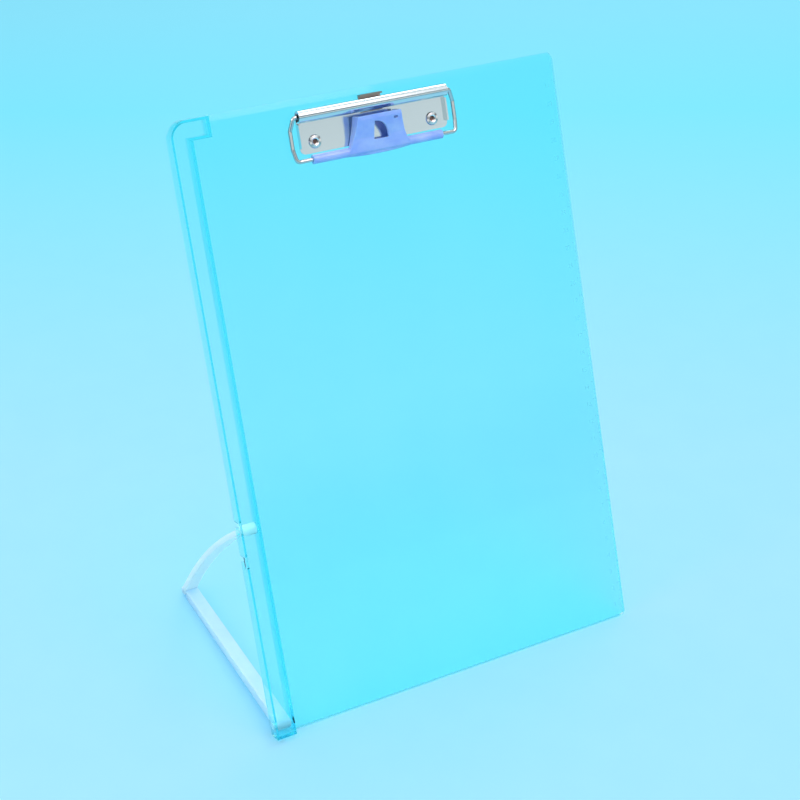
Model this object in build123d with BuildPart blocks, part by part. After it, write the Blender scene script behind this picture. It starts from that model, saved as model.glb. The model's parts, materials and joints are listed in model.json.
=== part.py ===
"""A4 clipboard with a side rail, a fold-out easel stand stowed in the rail and a wire-bail lever clip."""
import os
from math import acos, asin, cos, degrees, radians, sin, sqrt

from build123d import *

# ---- Driving dimensions, in millimetres and degrees ----
BOARD_WIDTH = 222.0
BOARD_HEIGHT = 325.0
PANEL_THICKNESS = 2.4
CORNER_RADIUS = 3.0
RAIL_CORNER_RADIUS = 9.0
LEAN = 20.0

RAIL_WIDTH = 11.0
RAIL_DEPTH = 8.4
RAIL_WALL = 1.4
CORNER_STOP_WIDTH = 21.0
CORNER_STOP_HEIGHT = 10.5
TOP_BEVEL_HEIGHT = 3.4
TOP_BEVEL_DEPTH = 1.0

LINK_WIDTH = 7.4
LINK_THICKNESS = 3.2
BASE_ARM_LENGTH = 132.0
STRUT_BOW = 5.5
PIVOT_HEIGHT = 6.5
LINK_DEPTH = 3.5
NOTCH_HEIGHT = 114.0
NOTCH_STEP = 18.5
NOTCH_WIDTH = 3.4
PIVOT_EYE_RADIUS = 3.2
ELBOW_RADIUS = 2.4
STRUT_HEAD_RADIUS = 3.1
KNUCKLE_WIDTH = 3.2
KNUCKLE_RELIEF = 4.4
PIVOT_PIN_RADIUS = 2.0
ELBOW_PIN_RADIUS = 1.0
PIN_CLEARANCE = 0.05

CLIP_CENTRE = -0.5
PLATE_WIDTH = 85.0
PLATE_BOTTOM = 296.5
PLATE_CORNER_RADIUS = 3.0
SHEET = 0.8
ROLL_HEIGHT = 316.0
ROLL_RADIUS = 3.3
ROLL_MOUTH = 1.6
FLANGE_HEIGHT = 2.4
FLANGE_LENGTH = 13.0
FLANGE_ANGLE = 80.0
HANGER_WIDTH = 12.6
HANGER_TOP = 321.2
HANGER_LIP = 3.4
HANGER_FOOT = 4.0

RIVET_SPACING = 67.6
RIVET_HEIGHT = 302.2
RIVET_SHANK_RADIUS = 2.2
RIVET_HOLE_RADIUS = 1.4
RIVET_RECESS = 1.6
RIVET_CROWN = 0.9
RIVET_TAIL = 0.5
RIVET_FLANGE_RADIUS = 3.6
WASHER_THICKNESS = 0.6

WIRE_RADIUS = 1.1
WIRE_BEND = 2.0
ROD_HEIGHT = 293.5
ROD_GAP = 0.1
BAIL_FLARE = 4.3
BAIL_SHOULDER = 6.5
BAIL_LOW_GAP = 0.3
BAIL_TAIL = 12.0
TUBE_RADIUS = 2.4
TUBE_LENGTH = 74.5
TAB_LENGTH = 17.5
TAB_TOP_WIDTH = 24.5
TAB_BASE_WIDTH = 35.0
TAB_WALL = 1.6
WINDOW_WIDTH = 8.4
HEEL_REACH = 2.0
HEEL_RADIUS = 1.35
HEEL_LENGTH = 44.0

# ---- Derived places ----
# Local board axes: x across, v up the board, n out of its paper face.
lean_sin = sin(radians(LEAN))
lean_cos = cos(radians(LEAN))
half_width = BOARD_WIDTH / 2
rail_centre = -half_width + RAIL_WIDTH / 2
channel_width = RAIL_WIDTH - 2 * RAIL_WALL
channel_depth = RAIL_DEPTH - RAIL_WALL

# The pivot, the notch and the elbow in the upright plane of the rail, with the foot edge at zero.
pivot_y = PIVOT_HEIGHT * lean_sin - LINK_DEPTH * lean_cos
pivot_z = PIVOT_HEIGHT * lean_cos + LINK_DEPTH * lean_sin
notch_y = NOTCH_HEIGHT * lean_sin - LINK_DEPTH * lean_cos
notch_z = NOTCH_HEIGHT * lean_cos + LINK_DEPTH * lean_sin
elbow_z = ELBOW_RADIUS
elbow_y = pivot_y + sqrt(BASE_ARM_LENGTH**2 - (pivot_z - elbow_z) ** 2)
strut_length = sqrt((elbow_y - notch_y) ** 2 + (notch_z - elbow_z) ** 2)

# The board's foot edge stands here, so that the whole object is centred on the origin.
foot_y = (RAIL_DEPTH * lean_cos - elbow_y - ELBOW_RADIUS) / 2

board = Plane(origin=(0, foot_y, 0), x_dir=(1, 0, 0), z_dir=(0, -lean_cos, lean_sin))
side = Plane(origin=(0, foot_y, 0), x_dir=(0, lean_sin, lean_cos), z_dir=(1, 0, 0))
upright = Plane(origin=(0, foot_y, 0), x_dir=(0, 1, 0), z_dir=(1, 0, 0))

roll_depth = PANEL_THICKNESS + ROLL_RADIUS
rod_depth = PANEL_THICKNESS + TUBE_RADIUS + ROD_GAP
plate_front = PANEL_THICKNESS + SHEET
rivet_places = [
    (CLIP_CENTRE - RIVET_SPACING / 2, RIVET_HEIGHT),
    (CLIP_CENTRE + RIVET_SPACING / 2, RIVET_HEIGHT),
]

os.makedirs("parts", exist_ok=True)


def write(part, label):
    """Label a finished piece and write its STEP file."""
    part.label = label
    export_step(part, f"parts/{label}.step")


def span(left, right):
    """Return the side plane at left and the distance to right, for an extrusion across the board."""
    return side.offset(left), right - left


# ---- Board: panel, side rail and corner stop in one moulding ----
with BuildPart() as board_panel:
    with BuildSketch(board):
        with Locations((0, BOARD_HEIGHT / 2)):
            Rectangle(BOARD_WIDTH, BOARD_HEIGHT)
    extrude(amount=PANEL_THICKNESS)
    # A shallow bevel runs along the paper face's top edge.
    with BuildSketch(side.offset(-half_width)):
        with BuildLine():
            Polyline(
                (BOARD_HEIGHT - TOP_BEVEL_HEIGHT, PANEL_THICKNESS),
                (BOARD_HEIGHT, PANEL_THICKNESS),
                (BOARD_HEIGHT, PANEL_THICKNESS - TOP_BEVEL_DEPTH),
                close=True,
            )
        make_face()
    extrude(amount=BOARD_WIDTH, mode=Mode.SUBTRACT)
    right_corners = [
        edge for edge in board_panel.edges().filter_by(Axis((0, 0, 0), board.z_dir))
        if edge.center().X > half_width - 0.1
    ]
    fillet(right_corners, CORNER_RADIUS)
    with BuildSketch(board):
        with Locations((-half_width, 0)):
            Rectangle(RAIL_WIDTH, BOARD_HEIGHT, align=(Align.MIN, Align.MIN))
        with Locations((-half_width, BOARD_HEIGHT)):
            Rectangle(CORNER_STOP_WIDTH, CORNER_STOP_HEIGHT, align=(Align.MIN, Align.MAX))
    extrude(amount=RAIL_DEPTH)
    upright_edges = board_panel.edges().filter_by(Axis((0, 0, 0), board.z_dir))
    top_left = [
        edge for edge in upright_edges
        if edge.center().X < -half_width + 0.1 and edge.center().Z > BOARD_HEIGHT / 2
    ]
    fillet(top_left, RAIL_CORNER_RADIUS)
    # The channel behind the rail, open at the back, takes the folded stand and turns into the corner stop.
    with BuildSketch(board) as hollow:
        with Locations((-half_width + RAIL_WALL, BOARD_HEIGHT - RAIL_WALL)):
            Rectangle(channel_width, BOARD_HEIGHT - 2 * RAIL_WALL, align=(Align.MIN, Align.MAX))
            Rectangle(
                CORNER_STOP_WIDTH - 2 * RAIL_WALL,
                CORNER_STOP_HEIGHT - 2 * RAIL_WALL,
                align=(Align.MIN, Align.MAX),
            )
        top_left_corner = hollow.vertices().sort_by(Axis.Y)[-2:].sort_by(Axis.X)[0]
        fillet(top_left_corner, RAIL_CORNER_RADIUS - RAIL_WALL)
    extrude(amount=channel_depth, mode=Mode.SUBTRACT)
    # Two J-shaped notches in the outer wall, entered from the back edge.
    for notch in (NOTCH_HEIGHT, NOTCH_HEIGHT - NOTCH_STEP):
        with BuildSketch(side.offset(-half_width)):
            with Locations((notch + NOTCH_WIDTH, -1)):
                Rectangle(NOTCH_WIDTH, LINK_DEPTH + NOTCH_WIDTH / 2 + 1, align=(Align.CENTER, Align.MIN))
            with Locations((notch + NOTCH_WIDTH / 2, LINK_DEPTH)):
                SlotOverall(2 * NOTCH_WIDTH, NOTCH_WIDTH)
        extrude(amount=RAIL_WALL, mode=Mode.SUBTRACT)
    # The pivot pin's hole goes through the outer wall and stops inside the inner one.
    with BuildSketch(side.offset(-half_width)):
        with Locations((PIVOT_HEIGHT, LINK_DEPTH)):
            Circle(PIVOT_PIN_RADIUS)
    extrude(amount=RAIL_WIDTH - RAIL_WALL / 2, mode=Mode.SUBTRACT)
    # Two holes for the clip's eyelets.
    with BuildSketch(board):
        with Locations(*rivet_places):
            Circle(RIVET_SHANK_RADIUS)
    extrude(amount=PANEL_THICKNESS, mode=Mode.SUBTRACT)
write(board_panel.part, "board_panel")

# ---- Pivot pin of the stand, held in the rail's two walls ----
with BuildPart() as arm_pivot_pin:
    with BuildSketch(side.offset(-half_width)):
        with Locations((PIVOT_HEIGHT, LINK_DEPTH)):
            Circle(PIVOT_PIN_RADIUS)
    extrude(amount=RAIL_WIDTH - RAIL_WALL / 2)
write(arm_pivot_pin.part, "arm_pivot_pin")

# ---- Base arm: a tapered link that lies along the floor ----
link_left = rail_centre - LINK_WIDTH / 2
with BuildPart() as stand_base_arm:
    with BuildSketch(upright.offset(link_left)):
        with Locations((pivot_y, pivot_z)):
            Circle(PIVOT_EYE_RADIUS)
        with Locations((elbow_y, elbow_z)):
            Circle(ELBOW_RADIUS)
        make_hull()
    extrude(amount=LINK_WIDTH)
    # Reliefs each side of the middle knuckle, where the strut's two ears turn.
    ear_width = (LINK_WIDTH - KNUCKLE_WIDTH) / 2
    for relief_left in (link_left, link_left + LINK_WIDTH - ear_width):
        with BuildSketch(upright.offset(relief_left)):
            with Locations((elbow_y, elbow_z)):
                Circle(KNUCKLE_RELIEF)
        extrude(amount=ear_width, mode=Mode.SUBTRACT)
    with BuildSketch(upright.offset(link_left)):
        with Locations((pivot_y, pivot_z)):
            Circle(PIVOT_PIN_RADIUS + PIN_CLEARANCE)
    extrude(amount=LINK_WIDTH, mode=Mode.SUBTRACT)
    with BuildSketch(upright.offset(link_left)):
        with Locations((elbow_y, elbow_z)):
            Circle(ELBOW_PIN_RADIUS)
    extrude(amount=LINK_WIDTH, mode=Mode.SUBTRACT)
write(stand_base_arm.part, "stand_base_arm")

# ---- Elbow pin, fixed in the base arm's knuckle ----
with BuildPart() as elbow_pin:
    with BuildSketch(upright.offset(link_left)):
        with Locations((elbow_y, elbow_z)):
            Circle(ELBOW_PIN_RADIUS)
    extrude(amount=LINK_WIDTH)
write(elbow_pin.part, "elbow_pin")

# ---- Strut: a bowed strip from the elbow to the notch ----
elbow_point = Vector(elbow_y, elbow_z)
notch_point = Vector(notch_y, notch_z)
chord = (notch_point - elbow_point).normalized()
outward = Vector(-chord.Y, chord.X) * -1
bow_point = (elbow_point + notch_point) * 0.5 + outward * STRUT_BOW
with BuildPart() as stand_strut:
    with BuildSketch(upright.offset(link_left)):
        spine = ThreePointArc(elbow_point, bow_point, notch_point)
        SlotArc(spine, LINK_THICKNESS)
        with Locations(elbow_point):
            Circle(ELBOW_RADIUS)
        with Locations(notch_point):
            Circle(STRUT_HEAD_RADIUS)
    extrude(amount=LINK_WIDTH)
    # The slot between the two ears takes the base arm's knuckle.
    slot_width = KNUCKLE_WIDTH + 0.4
    with BuildSketch(upright.offset(rail_centre - slot_width / 2)):
        with Locations(elbow_point):
            Circle(KNUCKLE_RELIEF)
    extrude(amount=slot_width, mode=Mode.SUBTRACT)
    with BuildSketch(upright.offset(link_left)):
        with Locations(elbow_point):
            Circle(ELBOW_PIN_RADIUS + PIN_CLEARANCE)
    extrude(amount=LINK_WIDTH, mode=Mode.SUBTRACT)
write(stand_strut.part, "stand_strut")

# ---- Clip base plate: sheet with a rolled top edge and a flange at each side ----
plate_plane, plate_width = span(CLIP_CENTRE - PLATE_WIDTH / 2, CLIP_CENTRE + PLATE_WIDTH / 2)
with BuildPart() as clip_base_plate:
    with BuildSketch(plate_plane):
        with Locations((ROLL_HEIGHT, roll_depth)):
            Circle(ROLL_RADIUS)
            Circle(ROLL_RADIUS - SHEET, mode=Mode.SUBTRACT)
        # The roll stops short of the plate and leaves an open mouth.
        with Locations((ROLL_HEIGHT, plate_front)):
            Rectangle(ROLL_RADIUS, ROLL_MOUTH, align=(Align.MAX, Align.MIN), mode=Mode.SUBTRACT)
        with Locations((PLATE_BOTTOM, PANEL_THICKNESS)):
            Rectangle(ROLL_HEIGHT - PLATE_BOTTOM, SHEET, align=(Align.MIN, Align.MIN))
    extrude(amount=plate_width)
    foot_corners = [
        edge for edge in clip_base_plate.edges().filter_by(Axis((0, 0, 0), board.z_dir))
        if board.to_local_coords(edge.center()).Y < PLATE_BOTTOM + 0.1
    ]
    fillet(foot_corners, PLATE_CORNER_RADIUS)
    for flange_left in (CLIP_CENTRE - PLATE_WIDTH / 2, CLIP_CENTRE + PLATE_WIDTH / 2 - SHEET):
        with BuildSketch(side.offset(flange_left)):
            with Locations((PLATE_BOTTOM + PLATE_CORNER_RADIUS, PANEL_THICKNESS)):
                Trapezoid(FLANGE_LENGTH, SHEET + FLANGE_HEIGHT, FLANGE_ANGLE, align=(Align.MIN, Align.MIN))
        extrude(amount=SHEET)
    # A window under the roll takes the hanging tab's foot.
    with BuildSketch(side.offset(CLIP_CENTRE - HANGER_WIDTH / 2)):
        with Locations((ROLL_HEIGHT - HANGER_FOOT, PANEL_THICKNESS)):
            Rectangle(HANGER_FOOT + ROLL_RADIUS, SHEET, align=(Align.MIN, Align.MIN))
    extrude(amount=HANGER_WIDTH, mode=Mode.SUBTRACT)
    with BuildSketch(board.offset(PANEL_THICKNESS)):
        with Locations(*rivet_places):
            Circle(RIVET_SHANK_RADIUS)
    extrude(amount=SHEET, mode=Mode.SUBTRACT)
write(clip_base_plate.part, "clip_base_plate")

# ---- Hanging tab: its foot fills the plate's window, and its lip is turned forward above the roll ----
with BuildPart() as hanger_tab:
    with BuildSketch(side.offset(CLIP_CENTRE - HANGER_WIDTH / 2)):
        with Locations((ROLL_HEIGHT - HANGER_FOOT, PANEL_THICKNESS)):
            Rectangle(HANGER_TOP - ROLL_HEIGHT + HANGER_FOOT, SHEET, align=(Align.MIN, Align.MIN))
        with Locations((HANGER_TOP, PANEL_THICKNESS)):
            Rectangle(SHEET, HANGER_LIP, align=(Align.MAX, Align.MIN))
    extrude(amount=HANGER_WIDTH)
write(hanger_tab.part, "hanger_tab")

# ---- Eyelet rivets and the washers behind the panel ----
eyelets = []
washers = []
for place in rivet_places:
    axis_plane = Plane(origin=board.from_local_coords((place[0], place[1], 0)), x_dir=(1, 0, 0), z_dir=board.y_dir)
    with BuildPart() as eyelet:
        with BuildSketch(axis_plane):
            with BuildLine():
                Polyline(
                    (0, WASHER_THICKNESS + RIVET_TAIL),
                    (RIVET_FLANGE_RADIUS - 0.6, WASHER_THICKNESS + RIVET_TAIL),
                    (RIVET_FLANGE_RADIUS - 0.3, WASHER_THICKNESS),
                    (RIVET_SHANK_RADIUS, WASHER_THICKNESS),
                    (RIVET_SHANK_RADIUS, -plate_front),
                    (RIVET_FLANGE_RADIUS, -plate_front),
                    (RIVET_FLANGE_RADIUS - 0.4, -plate_front - 0.6),
                    (RIVET_HOLE_RADIUS + 0.6, -plate_front - RIVET_CROWN),
                    (RIVET_HOLE_RADIUS, -plate_front - 0.5),
                    (RIVET_HOLE_RADIUS, -plate_front - RIVET_CROWN + RIVET_RECESS),
                    (0, -plate_front - RIVET_CROWN + RIVET_RECESS),
                    close=True,
                )
            make_face()
        revolve(axis=Axis(axis_plane.origin, board.z_dir))
    eyelets.append(eyelet.part)
    with BuildPart() as washer:
        with BuildSketch(board.offset(-WASHER_THICKNESS)):
            with Locations(place):
                Circle(RIVET_FLANGE_RADIUS + 1.0)
                Circle(RIVET_SHANK_RADIUS, mode=Mode.SUBTRACT)
        extrude(amount=WASHER_THICKNESS)
    washers.append(washer.part)
write(Compound(children=eyelets), "clip_rivets")
write(Compound(children=washers), "rivet_washers")

# ---- Bail: one bent spring wire, its tails held in the roll ----
roll_end = PLATE_WIDTH / 2
bail_reach = roll_end + BAIL_FLARE
arm_depth = PANEL_THICKNESS + WIRE_RADIUS + BAIL_LOW_GAP
half_path = [
    (roll_end - BAIL_TAIL, ROLL_HEIGHT, roll_depth),
    (roll_end + BAIL_FLARE / 2, ROLL_HEIGHT, roll_depth),
    (bail_reach, ROLL_HEIGHT - BAIL_SHOULDER, arm_depth),
    (bail_reach, ROD_HEIGHT + BAIL_SHOULDER, arm_depth),
    (bail_reach - 1.0, ROD_HEIGHT, rod_depth),
]
right_path = [(CLIP_CENTRE + x, v, n) for x, v, n in half_path]
left_path = [(CLIP_CENTRE - x, v, n) for x, v, n in reversed(half_path)]
with BuildPart() as clip_bail:
    with BuildLine(board) as wire_path:
        FilletPolyline(*right_path, *left_path, radius=WIRE_BEND)
    with BuildSketch(Plane(origin=wire_path.line @ 0, z_dir=wire_path.line % 0)):
        Circle(WIRE_RADIUS)
    sweep(path=wire_path.line)
write(clip_bail.part, "clip_bail")

# ---- Lever: a tube on the bail's rod with a windowed finger tab and a cam heel ----
tab_top = ROD_HEIGHT + TAB_LENGTH
with BuildPart() as clip_lever:
    # A solid wedge first, from the tube to the raised lip of the tab.
    with BuildSketch(side.offset(CLIP_CENTRE - TAB_BASE_WIDTH / 2)):
        with BuildLine():
            Polyline(
                (ROD_HEIGHT - 1.0, rod_depth),
                (ROD_HEIGHT - 1.0, rod_depth + 2.3),
                (ROD_HEIGHT + 6, rod_depth + 3.6),
                (tab_top - 2, rod_depth + 7.4),
                (tab_top, rod_depth + 7.6),
                (tab_top, rod_depth + 0.6),
                (ROD_HEIGHT + 7, rod_depth - 1.0),
                (ROD_HEIGHT + 1.0, rod_depth - 1.0),
                close=True,
            )
        make_face()
    extrude(amount=TAB_BASE_WIDTH)
    # The tab's outline narrows in a curve from the tube to its lip.
    with BuildSketch(board):
        with BuildLine():
            tab_right = CLIP_CENTRE + TAB_TOP_WIDTH / 2
            tab_left = CLIP_CENTRE - TAB_TOP_WIDTH / 2
            base_right = CLIP_CENTRE + TAB_BASE_WIDTH / 2
            base_left = CLIP_CENTRE - TAB_BASE_WIDTH / 2
            Line((base_left, ROD_HEIGHT - 2), (base_right, ROD_HEIGHT - 2))
            Line((base_right, ROD_HEIGHT - 2), (base_right, ROD_HEIGHT))
            Bezier((base_right, ROD_HEIGHT), (tab_right + 2.0, ROD_HEIGHT + 5), (tab_right, tab_top))
            Line((tab_right, tab_top), (tab_left, tab_top))
            Bezier((tab_left, tab_top), (tab_left - 2.0, ROD_HEIGHT + 5), (base_left, ROD_HEIGHT))
            Line((base_left, ROD_HEIGHT), (base_left, ROD_HEIGHT - 2))
        make_face()
    extrude(amount=30, mode=Mode.INTERSECT)
    # The underside is hollow between two side walls, and open at the lip.
    with BuildSketch(side.offset(tab_left + TAB_WALL)):
        with BuildLine():
            Polyline(
                (ROD_HEIGHT + 4, rod_depth - 2),
                (ROD_HEIGHT + 4, rod_depth + 1.4),
                (tab_top - 2, rod_depth + 5.8),
                (tab_top + 1, rod_depth + 5.9),
                (tab_top + 1, rod_depth - 2),
                close=True,
            )
        make_face()
    extrude(amount=TAB_TOP_WIDTH - 2 * TAB_WALL, mode=Mode.SUBTRACT)
    # The window has a straight left side and a bowed right side.
    with BuildSketch(board):
        with BuildLine():
            window_left = CLIP_CENTRE - 3.0
            window_low = ROD_HEIGHT + 4.4
            window_high = ROD_HEIGHT + 14.0
            Line((window_left, window_low), (window_left, window_high))
            Bezier(
                (window_left, window_high),
                (window_left + WINDOW_WIDTH - 0.5, window_high - 0.4),
                (window_left + WINDOW_WIDTH, window_low),
            )
            Line((window_left + WINDOW_WIDTH, window_low), (window_left, window_low))
        make_face()
    extrude(amount=30, mode=Mode.SUBTRACT)
    # A small drain slot near the lip's right corner.
    with BuildSketch(board):
        with Locations((CLIP_CENTRE + TAB_TOP_WIDTH / 2 - 3.0, tab_top - 3.4)):
            SlotOverall(2.4, 1.3)
    extrude(amount=30, mode=Mode.SUBTRACT)
    with BuildSketch(side.offset(CLIP_CENTRE - TUBE_LENGTH / 2)):
        with Locations((ROD_HEIGHT, rod_depth)):
            Circle(TUBE_RADIUS)
    extrude(amount=TUBE_LENGTH)
    # The cam heel is a barrel that fades into the tube at both ends.
    heel_low = ROD_HEIGHT - HEEL_REACH
    heel_left = CLIP_CENTRE - HEEL_LENGTH / 2
    heel_right = CLIP_CENTRE + HEEL_LENGTH / 2
    with BuildSketch(board.offset(rod_depth)):
        with BuildLine():
            ThreePointArc((heel_left, heel_low), (CLIP_CENTRE, heel_low + HEEL_RADIUS), (heel_right, heel_low))
            Line((heel_right, heel_low), (heel_left, heel_low))
        make_face()
    revolve(axis=Axis(board.from_local_coords((heel_left, heel_low, rod_depth)), board.x_dir))
    with BuildSketch(side.offset(CLIP_CENTRE - TUBE_LENGTH / 2)):
        with Locations((ROD_HEIGHT, rod_depth)):
            Circle(WIRE_RADIUS + PIN_CLEARANCE)
    extrude(amount=TUBE_LENGTH, mode=Mode.SUBTRACT)
write(clip_lever.part, "clip_lever")

# ---- Angles between the links and the board, in the open pose ----
run = NOTCH_HEIGHT - PIVOT_HEIGHT
arm_angle = acos((BASE_ARM_LENGTH**2 + run**2 - strut_length**2) / (2 * BASE_ARM_LENGTH * run))
strut_angle = asin(BASE_ARM_LENGTH * sin(arm_angle) / strut_length)
pivot_at = upright.from_local_coords((pivot_y, pivot_z, 0))
elbow_at = upright.from_local_coords((elbow_y, elbow_z, 0))
print(f"strut length {strut_length:.3f} mm")
print(f"base arm folds {degrees(arm_angle):.3f}, strut folds {degrees(arm_angle + strut_angle):.3f} degrees")
print("pivot", pivot_at, "elbow", elbow_at)
print("roll axis", board.from_local_coords((CLIP_CENTRE, ROLL_HEIGHT, roll_depth)))
print("rod axis", board.from_local_coords((CLIP_CENTRE, ROD_HEIGHT, rod_depth)))
print("paper face", board.from_local_coords((RAIL_WIDTH / 2, BOARD_HEIGHT / 2, PANEL_THICKNESS)))
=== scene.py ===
"""Studio scene for the clear clipboard: procedural materials, the edge scale and small moulded details."""
import json
from math import cos, pi, radians, sin

import bmesh
import bpy
from mathutils import Matrix, Vector


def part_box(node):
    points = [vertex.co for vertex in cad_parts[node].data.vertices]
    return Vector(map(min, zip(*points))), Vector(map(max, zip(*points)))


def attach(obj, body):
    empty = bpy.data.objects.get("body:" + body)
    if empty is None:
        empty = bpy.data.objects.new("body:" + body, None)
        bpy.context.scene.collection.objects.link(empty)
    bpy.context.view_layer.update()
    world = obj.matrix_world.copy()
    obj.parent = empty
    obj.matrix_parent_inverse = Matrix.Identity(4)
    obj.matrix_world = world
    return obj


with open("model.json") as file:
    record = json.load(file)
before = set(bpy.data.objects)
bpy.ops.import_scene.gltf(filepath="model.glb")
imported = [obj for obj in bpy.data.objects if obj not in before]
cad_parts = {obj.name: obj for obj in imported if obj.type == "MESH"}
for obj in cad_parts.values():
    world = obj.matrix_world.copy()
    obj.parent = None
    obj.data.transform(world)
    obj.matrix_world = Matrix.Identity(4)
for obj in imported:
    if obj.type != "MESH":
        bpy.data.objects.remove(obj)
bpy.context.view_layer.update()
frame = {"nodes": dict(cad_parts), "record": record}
scene = bpy.context.scene
scene.view_settings.view_transform = "Standard"

MM = 0.001
WHITE = (1.0, 1.0, 1.0)

# ---- The board's own axes: x across, v up the board, n out of its paper face ----
RAIL_DEPTH = 8.4 * MM
PANEL = 2.4 * MM
foot_mount = next(m for m in frame["record"]["mounts"] if m["name"] == "foot_edge")
UP = -Vector(foot_mount["axis"]).normalized()
NORMAL = Vector((0, -UP.z, UP.y))
board_low, board_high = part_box("board_panel")
FOOT = Vector((0, board_low.y - NORMAL.y * RAIL_DEPTH, 0))
RIGHT_EDGE = board_high.x
BOARD_AXES = Matrix.Translation(FOOT) @ Matrix((Vector((1, 0, 0)), UP, NORMAL)).transposed().to_4x4()

# ---- Camera ----
CAMERA_AT = Vector((-0.3714, -0.6874, 0.6334))
CAMERA_YAW = radians(28.11)
CAMERA_PITCH = radians(29.51)
CAMERA_ROLL = radians(0.72)
CAMERA_LENS = 76.8
CAMERA_SENSOR = 36.0
CAMERA_SHIFT = -0.10
CAMERA_REACH = 50.0


def add_camera():
    """A long lens above and to the left of the board, looking down at it."""
    forward = Vector((
        sin(CAMERA_YAW) * cos(CAMERA_PITCH),
        cos(CAMERA_YAW) * cos(CAMERA_PITCH),
        -sin(CAMERA_PITCH),
    ))
    level = Vector((cos(CAMERA_YAW), -sin(CAMERA_YAW), 0))
    upright = level.cross(forward)
    right = cos(CAMERA_ROLL) * level + sin(CAMERA_ROLL) * upright
    up = cos(CAMERA_ROLL) * upright - sin(CAMERA_ROLL) * level
    data = bpy.data.cameras.new("camera")
    data.lens = CAMERA_LENS
    data.sensor_width = CAMERA_SENSOR
    data.shift_y = CAMERA_SHIFT
    data.clip_end = CAMERA_REACH
    camera = bpy.data.objects.new("camera", data)
    scene.collection.objects.link(camera)
    turn = Matrix((right, up, -forward)).transposed().to_4x4()
    camera.matrix_world = Matrix.Translation(CAMERA_AT) @ turn
    scene.camera = camera


# ---- Material helpers ----
TINT_STOPS = (0.3, 0.7)


def new_material(name):
    """A material with its node tree and its Principled shader."""
    material = bpy.data.materials.new(name)
    material.use_nodes = True
    return material, material.node_tree, material.node_tree.nodes["Principled BSDF"]


def set_inputs(node, **values):
    """Set a node's own sockets; an underscore stands for a space in a socket's name."""
    for name, value in values.items():
        node.inputs[name.replace("_", " ")].default_value = value


def fill_ramp(ramp, stops):
    """Give a colour ramp its stops, each a position and a colour."""
    for _ in range(len(stops) - len(ramp.elements)):
        ramp.elements.new(0.5)
    for element, (position, colour) in zip(ramp.elements, stops):
        element.position = position
        element.color = (*colour, 1)


def noise(tree, scale, detail=4.0, stretch=(1, 1, 1)):
    """Noise in object coordinates, stretched along the axes, as a Factor socket."""
    where = tree.nodes.new("ShaderNodeTexCoord")
    mapping = tree.nodes.new("ShaderNodeMapping")
    texture = tree.nodes.new("ShaderNodeTexNoise")
    set_inputs(mapping, Scale=stretch)
    set_inputs(texture, Scale=scale, Detail=detail)
    tree.links.new(where.outputs["Object"], mapping.inputs["Vector"])
    tree.links.new(mapping.outputs["Vector"], texture.inputs["Vector"])
    return texture.outputs["Factor"] if "Factor" in texture.outputs else texture.outputs["Fac"]


def ranged(tree, value, low, high):
    """The 0 to 1 value rescaled to run from low to high."""
    node = tree.nodes.new("ShaderNodeMapRange")
    set_inputs(node, To_Min=low, To_Max=high)
    tree.links.new(value, node.inputs["Value"])
    return node.outputs["Result"]


def tinted(tree, value, dark, light):
    """A colour that runs from dark to light with the value."""
    node = tree.nodes.new("ShaderNodeValToRGB")
    fill_ramp(node.color_ramp, tuple(zip(TINT_STOPS, (dark, light))))
    tree.links.new(value, node.inputs["Fac"])
    return node.outputs["Color"]


def bump(tree, shader, value, distance, strength=0.5):
    """Relief of the given depth, in metres, from the value."""
    node = tree.nodes.new("ShaderNodeBump")
    set_inputs(node, Distance=distance, Strength=strength)
    tree.links.new(value, node.inputs["Height"])
    tree.links.new(node.outputs["Normal"], shader.inputs["Normal"])


def clear_for_lamps(tree, shader, tint):
    """Let lamplight through the plastic, tinted, so that its shadow is a pale one."""
    output = tree.nodes["Material Output"]
    rays = tree.nodes.new("ShaderNodeLightPath")
    clear = tree.nodes.new("ShaderNodeBsdfTransparent")
    clear.inputs["Color"].default_value = (*tint, 1)
    mix = tree.nodes.new("ShaderNodeMixShader")
    tree.links.new(rays.outputs["Is Shadow Ray"], mix.inputs["Fac"])
    tree.links.new(shader.outputs["BSDF"], mix.inputs[1])
    tree.links.new(clear.outputs["BSDF"], mix.inputs[2])
    tree.links.new(mix.outputs["Shader"], output.inputs["Surface"])


# ---- Materials ----
BOARD_DARK = (0.825, 0.982, 0.995)
BOARD_LIGHT = (0.875, 0.992, 1.0)
BOARD_DEPTH_COLOUR = (0.04, 0.955, 0.995, 1)
BOARD_DEPTH_DENSITY = 190.0


def clear_board_material():
    """Polished clear cyan plastic with faint flow waves from moulding, deeper in colour where it is thick."""
    material, tree, shader = new_material("clear_cyan_plastic")
    flow = noise(tree, 14.0, 2.0, (1, 0.4, 0.4))
    tree.links.new(tinted(tree, flow, BOARD_DARK, BOARD_LIGHT), shader.inputs["Base Color"])
    tree.links.new(ranged(tree, noise(tree, 60.0), 0.02, 0.06), shader.inputs["Roughness"])
    set_inputs(shader, IOR=1.3, Specular_IOR_Level=0.25, Transmission_Weight=1.0)
    bump(tree, shader, flow, 0.0002, 0.12)
    clear_for_lamps(tree, shader, WHITE)
    absorption = tree.nodes.new("ShaderNodeVolumeAbsorption")
    set_inputs(absorption, Color=BOARD_DEPTH_COLOUR, Density=BOARD_DEPTH_DENSITY)
    tree.links.new(absorption.outputs["Volume"], tree.nodes["Material Output"].inputs["Volume"])
    return material


ARM_COLOURS = ((0.53, 0.70, 0.86), (0.59, 0.75, 0.89))
STRUT_COLOURS = ((0.74, 0.87, 0.94), (0.80, 0.91, 0.97))
LINK_SHADOW = (0.62, 0.84, 0.92)


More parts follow.
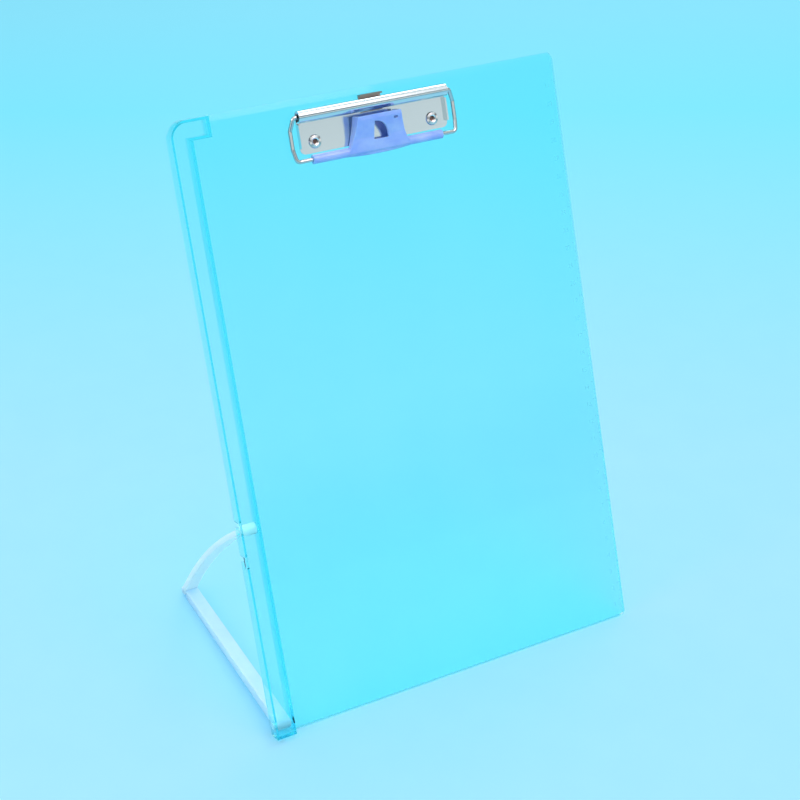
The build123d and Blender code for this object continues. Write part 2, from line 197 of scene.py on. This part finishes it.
def frosted_link_material(name, dark, light):
    """Natural, slightly waxy translucent plastic with a fine frosted grain."""
    material, tree, shader = new_material(name)
    cloud = noise(tree, 90.0, 3.0)
    tree.links.new(tinted(tree, cloud, dark, light), shader.inputs["Base Color"])
    tree.links.new(ranged(tree, noise(tree, 300.0), 0.38, 0.55), shader.inputs["Roughness"])
    set_inputs(
        shader,
        Subsurface_Weight=0.9,
        Subsurface_Radius=(0.8, 0.95, 1.0),
        Subsurface_Scale=0.012,
        Transmission_Weight=0.25,
        IOR=1.49,
    )
    bump(tree, shader, noise(tree, 2600.0, 2.0), 0.00004, 0.4)
    clear_for_lamps(tree, shader, LINK_SHADOW)
    return material


METAL_DARKENING = 0.94
SHEET_GRAIN = (1, 60, 60)
WIRE_COLOUR = (0.62, 0.64, 0.64)
NICKEL_COLOUR = (0.84, 0.82, 0.80)
PIN_COLOUR = (0.42, 0.78, 0.88)
SHEET_COLOUR = (0.70, 0.78, 0.80)
BRONZE_COLOUR = (0.36, 0.31, 0.27)


def metal_material(name, colour, rough_low, rough_high, grain, metal=1.0):
    """Metal with a directional polishing grain and soft stains in its gloss."""
    material, tree, shader = new_material(name)
    streaks = noise(tree, 40.0, 3.0, grain)
    dark = tuple(channel * METAL_DARKENING for channel in colour)
    tree.links.new(tinted(tree, streaks, dark, colour), shader.inputs["Base Color"])
    tree.links.new(ranged(tree, streaks, rough_low, rough_high), shader.inputs["Roughness"])
    set_inputs(shader, Metallic=metal)
    bump(tree, shader, streaks, 0.00002, 0.12)
    return material


LEVER_DARK = (0.25, 0.41, 0.98)
LEVER_LIGHT = (0.37, 0.54, 1.0)


def lever_material():
    """Glossy blue moulding, milky and a little translucent, with a faint moulded grain."""
    material, tree, shader = new_material("blue_lever_plastic")
    swirl = noise(tree, 120.0, 3.0)
    tree.links.new(tinted(tree, swirl, LEVER_DARK, LEVER_LIGHT), shader.inputs["Base Color"])
    tree.links.new(ranged(tree, noise(tree, 500.0), 0.16, 0.28), shader.inputs["Roughness"])
    set_inputs(
        shader,
        Subsurface_Weight=0.35,
        Subsurface_Radius=(0.25, 0.6, 1.0),
        Subsurface_Scale=0.003,
        Coat_Weight=0.6,
        Coat_Roughness=0.08,
    )
    bump(tree, shader, noise(tree, 1500.0, 2.0), 0.00003, 0.2)
    return material


FIGURE_DARK = (0.10, 0.70, 0.90)
FIGURE_LIGHT = (0.14, 0.76, 0.94)
FIGURE_ALPHA = 0.10


def figure_material():
    """The board's own plastic in low relief, which reads a little darker than the panel."""
    material, tree, shader = new_material("raised_figures")
    grain = noise(tree, 900.0)
    tree.links.new(tinted(tree, grain, FIGURE_DARK, FIGURE_LIGHT), shader.inputs["Base Color"])
    tree.links.new(ranged(tree, grain, 0.3, 0.5), shader.inputs["Roughness"])
    set_inputs(shader, Alpha=FIGURE_ALPHA)
    return material


# Painted shade: near-black tones for the shank ends, standing for the shade in the bottom of each eyelet.
SHANK_SHADE_DARK = (0.10, 0.05, 0.04)
SHANK_SHADE_LIGHT = (0.30, 0.17, 0.13)


def shank_material():
    """Dull metal, painted near black as the shade in the bottom of an eyelet, with a random mottle."""
    material, tree, shader = new_material("shank_end_painted_shade")
    mottle = noise(tree, 700.0, 4.0)
    tree.links.new(tinted(tree, mottle, SHANK_SHADE_DARK, SHANK_SHADE_LIGHT), shader.inputs["Base Color"])
    tree.links.new(ranged(tree, mottle, 0.3, 0.55), shader.inputs["Roughness"])
    set_inputs(shader, Metallic=0.7)
    return material


FLOOR_DARK = (0.304, 0.644, 0.80)
FLOOR_LIGHT = (0.312, 0.652, 0.81)
# Painted shade: the colour mixed into the floor towards the back, where the lamps' light falls off.
FLOOR_FAR_PAINTED_SHADE = (0.185, 0.685, 0.83, 1)
SHADE_FALLOFF_DIRECTION = (0.35, 0.75, 0)
SHADE_FALLOFF_STOPS = ((0.12, (0.0, 0.0, 0.0)), (0.62, (1.0, 1.0, 1.0)), (0.85, (0.70, 0.70, 0.70)))


def floor_material():
    """Matt pale card with a barely visible fibre, a little deeper in colour towards the back as painted shade
    where the lamps' light falls off.
    """
    material, tree, shader = new_material("pale_floor")
    where = tree.nodes.new("ShaderNodeTexCoord")
    reach = tree.nodes.new("ShaderNodeVectorMath")
    reach.operation = "DOT_PRODUCT"
    reach.inputs[1].default_value = SHADE_FALLOFF_DIRECTION
    # Painted shade: a ramp along that direction sets how much of the far colour is mixed into the card.
    shade_ramp = tree.nodes.new("ShaderNodeValToRGB")
    fill_ramp(shade_ramp.color_ramp, SHADE_FALLOFF_STOPS)
    shade_mix = tree.nodes.new("ShaderNodeMix")
    shade_mix.data_type = "RGBA"
    shade_mix.inputs["B"].default_value = FLOOR_FAR_PAINTED_SHADE
    tree.links.new(where.outputs["Object"], reach.inputs[0])
    tree.links.new(reach.outputs["Value"], shade_ramp.inputs["Fac"])
    tree.links.new(shade_ramp.outputs["Color"], shade_mix.inputs["Factor"])
    fibre = tinted(tree, noise(tree, 35.0, 6.0), FLOOR_DARK, FLOOR_LIGHT)
    tree.links.new(fibre, shade_mix.inputs["A"])
    tree.links.new(shade_mix.outputs["Result"], shader.inputs["Base Color"])
    set_inputs(shader, Roughness=0.85, Specular_IOR_Level=0.1)
    bump(tree, shader, noise(tree, 900.0), 0.00005, 0.2)
    return material


# ---- Finishes for the CAD nodes ----
def dress(node, material):
    """Give a CAD node its finish, with smooth shading between its sharp edges."""
    thing = frame["nodes"][node]
    thing.data.materials.clear()
    thing.data.materials.append(material)
    smooth = thing.modifiers.new("smooth_sides", "WEIGHTED_NORMAL")
    smooth.keep_sharp = True
    thing.data.shade_smooth()


def dress_cad_nodes():
    """Choose a finish for each CAD node."""
    arm_plastic = frosted_link_material("frosted_natural_plastic", *ARM_COLOURS)
    strut_plastic = frosted_link_material("frosted_thin_plastic", *STRUT_COLOURS)
    wire = metal_material("bright_chrome_wire", WIRE_COLOUR, 0.05, 0.12, (20, 20, 20))
    nickel = metal_material("nickel_eyelet", NICKEL_COLOUR, 0.14, 0.24, (30, 30, 30))
    steel = metal_material("turned_steel_pin", PIN_COLOUR, 0.40, 0.55, (60, 60, 60), metal=0.2)
    dress("board_panel", clear_board_material())
    dress("stand_base_arm", arm_plastic)
    dress("stand_strut", strut_plastic)
    dress("arm_pivot_pin", steel)
    dress("elbow_pin", arm_plastic)
    dress("clip_base_plate", metal_material("satin_chrome_sheet", SHEET_COLOUR, 0.13, 0.20, SHEET_GRAIN))
    dress("hanger_tab", metal_material("bronzed_tab", BRONZE_COLOUR, 0.25, 0.40, (30, 30, 30)))
    dress("clip_bail", wire)
    dress("clip_lever", lever_material())
    dress("clip_rivets", nickel)
    dress("rivet_washers", nickel)


# ---- Pieces added to the board ----
FIGURE_INSET = 5.6 * MM
FIGURE_SIZE = 3.6 * MM
FIGURE_RAISE = 0.15 * MM
FIGURE_COUNT = 31
FIGURE_PITCH = 10 * MM
FIGURE_DROP = 2.4 * MM
TICK_INSET = 0.4 * MM
LONG_TICK = 2.2 * MM
SHORT_TICK = 1.4 * MM
TICK_HALF_WIDTH = 0.175 * MM
TICK_TOP_HALF_WIDTH = 0.07 * MM
SEAT = 0.02 * MM


def add_piece(name, shape, material, body):
    """Turn a bmesh into a piece that rides on a body."""
    data = bpy.data.meshes.new(name)
    shape.to_mesh(data)
    shape.free()
    data.materials.append(material)
    piece = bpy.data.objects.new(name, data)
    scene.collection.objects.link(piece)
    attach(piece, body)


def add_figure(shape, text, x, v):
    """One raised number on the paper face, centred at x and v."""
    curve = bpy.data.curves.new("figure", "FONT")
    curve.body = text
    curve.size = FIGURE_SIZE
    curve.extrude = FIGURE_RAISE / 2
    curve.align_x = "CENTER"
    curve.align_y = "CENTER"
    holder = bpy.data.objects.new("figure", curve)
    figure = bpy.data.meshes.new_from_object(holder)
    figure.transform(BOARD_AXES @ Matrix.Translation((x, v, PANEL + SEAT + FIGURE_RAISE / 2)))
    shape.from_mesh(figure)
    bpy.data.objects.remove(holder)
    bpy.data.curves.remove(curve)
    bpy.data.meshes.remove(figure)


def add_ridge(shape, x, v, length):
    """One tick, a low ridge that runs inwards from x and narrows towards its top."""
    low = []
    high = []
    for across, along in ((0, -1), (-1, -1), (-1, 1), (0, 1)):
        foot = Vector((x + across * length, v + along * TICK_HALF_WIDTH, PANEL + SEAT))
        top = Vector((x + across * length, v + along * TICK_TOP_HALF_WIDTH, PANEL + SEAT + FIGURE_RAISE))
        low.append(shape.verts.new(BOARD_AXES @ foot))
        high.append(shape.verts.new(BOARD_AXES @ top))
    shape.faces.new(high)
    shape.faces.new(reversed(low))
    for corner in range(4):
        after = (corner + 1) % 4
        shape.faces.new((low[corner], low[after], high[after], high[corner]))


def add_edge_scale():
    """Centimetre figures inside the right edge, counted up from the foot, with a tick each 5 mm."""
    material = figure_material()
    figures = bmesh.new()
    ticks = bmesh.new()
    for number in range(1, FIGURE_COUNT + 1):
        v = number * FIGURE_PITCH
        add_figure(figures, str(number), RIGHT_EDGE - FIGURE_INSET, v - FIGURE_DROP)
        add_ridge(ticks, RIGHT_EDGE - TICK_INSET, v, LONG_TICK)
        add_ridge(ticks, RIGHT_EDGE - TICK_INSET, v - FIGURE_PITCH / 2, SHORT_TICK)
    bmesh.ops.recalc_face_normals(ticks, faces=ticks.faces)
    add_piece("edge_scale_figures", figures, material, "board")
    add_piece("edge_scale_ticks", ticks, material, "board")


RIVET_FLANGE = 3.6 * MM
RIVET_FLOOR = 2.5 * MM
CORE_RADIUS = 1.34 * MM
CORE_RISE = 0.4 * MM
CORE_RINGS = 6
CORE_SIDES = 32


def add_core(cores, x, v):
    """One low dome on an eyelet's floor, closed underneath."""
    tip = cores.verts.new(BOARD_AXES @ Vector((x, v, RIVET_FLOOR + CORE_RISE)))
    inner = None
    for ring in range(1, CORE_RINGS + 1):
        share = ring / CORE_RINGS
        radius = CORE_RADIUS * share
        height = RIVET_FLOOR + SEAT + CORE_RISE * (1 - share**2)
        outer = []
        for side in range(CORE_SIDES):
            turn = 2 * pi * side / CORE_SIDES
            at = Vector((x + radius * cos(turn), v + radius * sin(turn), height))
            outer.append(cores.verts.new(BOARD_AXES @ at))
        for side in range(CORE_SIDES):
            after = (side + 1) % CORE_SIDES
            if inner is None:
                cores.faces.new((tip, outer[side], outer[after]))
            else:
                cores.faces.new((inner[side], outer[side], outer[after], inner[after]))
        inner = outer
    cores.faces.new(reversed(inner))


def add_rivet_cores():
    """The upset end of each rivet's shank, a small dull dome in the bottom of the eyelet, whose dark colour
    is painted shade.
    """
    low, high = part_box("clip_rivets")
    v = (BOARD_AXES.inverted() @ ((Vector(low) + Vector(high)) / 2)).y
    cores = bmesh.new()
    for x in (low.x + RIVET_FLANGE, high.x - RIVET_FLANGE):
        add_core(cores, x, v)
    for face in cores.faces:
        face.smooth = True
    add_piece("rivet_shank_ends", cores, shank_material(), "board")


# ---- Floor and light ----
FLOOR_HALF = 6.0
FLOOR_DROP = 0.2 * MM
WORLD_STRENGTH = 0.95
FRONT_BANDS = (
    (0.00, (0.04, 0.20, 0.26)),
    (0.03, (0.06, 0.22, 0.28)),
    (0.07, (0.88, 0.97, 1.00)),
    (0.26, (0.88, 0.97, 1.00)),
    (0.32, (0.12, 0.15, 0.17)),
    (0.42, (0.12, 0.15, 0.17)),
    (0.50, (0.86, 0.96, 1.00)),
)
BACKDROP_BANDS = (
    (0.06, (0.12, 0.70, 0.92)),
    (0.24, (0.84, 0.95, 1.0)),
)
BACKDROP_TURN = 0.25
BOARD_CENTRE = (0, 0, 0.12)
SOFTBOXES = (
    # name, place, aim, width in metres, watts, colour
    ("key_back_right", (1.1, 1.1, 1.7), BOARD_CENTRE, 0.8, 7.0, WHITE),
    ("key_left", (-1.6, 0.0, 1.2), BOARD_CENTRE, 0.8, 7.0, WHITE),
    ("front_top", (0.1, -0.7, 1.7), (0, -0.1, 0), 1.2, 14.0, (1.0, 0.70, 0.72)),
)


def add_floor():
    """A large flat card just under everything."""
    data = bpy.data.meshes.new("floor")
    half = FLOOR_HALF
    corners = [(-half, -half, 0), (half, -half, 0), (half, half, 0), (-half, half, 0)]
    data.from_pydata(corners, [], [(0, 1, 2, 3)])
    floor = bpy.data.objects.new("floor", data)
    floor.location.z = -FLOOR_DROP
    scene.collection.objects.link(floor)
    data.materials.append(floor_material())


def add_softbox(name, at, aim, size, power, colour):
    """A square area light at one point, turned to face another."""
    data = bpy.data.lights.new(name, "AREA")
    data.shape = "SQUARE"
    data.size = size
    data.energy = power
    data.color = colour
    light = bpy.data.objects.new(name, data)
    scene.collection.objects.link(light)
    light.location = at
    light.rotation_euler = (Vector(aim) - Vector(at)).to_track_quat("-Z", "Y").to_euler()


def add_world():
    """A pale room: a cyan backdrop low behind, and in front two darker bands that polished metal mirrors."""
    world = bpy.data.worlds.new("studio")
    world.use_nodes = True
    tree = world.node_tree
    direction = tree.nodes.new("ShaderNodeTexCoord")
    split = tree.nodes.new("ShaderNodeSeparateXYZ")
    front = tree.nodes.new("ShaderNodeValToRGB")
    back = tree.nodes.new("ShaderNodeValToRGB")
    fill_ramp(front.color_ramp, FRONT_BANDS)
    fill_ramp(back.color_ramp, BACKDROP_BANDS)
    turn = tree.nodes.new("ShaderNodeMapRange")
    set_inputs(turn, From_Min=0.0, From_Max=BACKDROP_TURN)
    sky = tree.nodes.new("ShaderNodeMix")
    sky.data_type = "RGBA"
    background = tree.nodes["Background"]
    tree.links.new(direction.outputs["Generated"], split.inputs["Vector"])
    tree.links.new(split.outputs["Z"], front.inputs["Fac"])
    tree.links.new(split.outputs["Z"], back.inputs["Fac"])
    tree.links.new(split.outputs["Y"], turn.inputs["Value"])
    tree.links.new(turn.outputs["Result"], sky.inputs["Factor"])
    tree.links.new(front.outputs["Color"], sky.inputs["A"])
    tree.links.new(back.outputs["Color"], sky.inputs["B"])
    tree.links.new(sky.outputs["Result"], background.inputs["Color"])
    set_inputs(background, Strength=WORLD_STRENGTH)
    scene.world = world


def add_light():
    """The room's own light and three softboxes."""
    add_world()
    for softbox in SOFTBOXES:
        add_softbox(*softbox)


add_camera()
add_floor()
add_light()
dress_cad_nodes()
add_edge_scale()
add_rivet_cores()
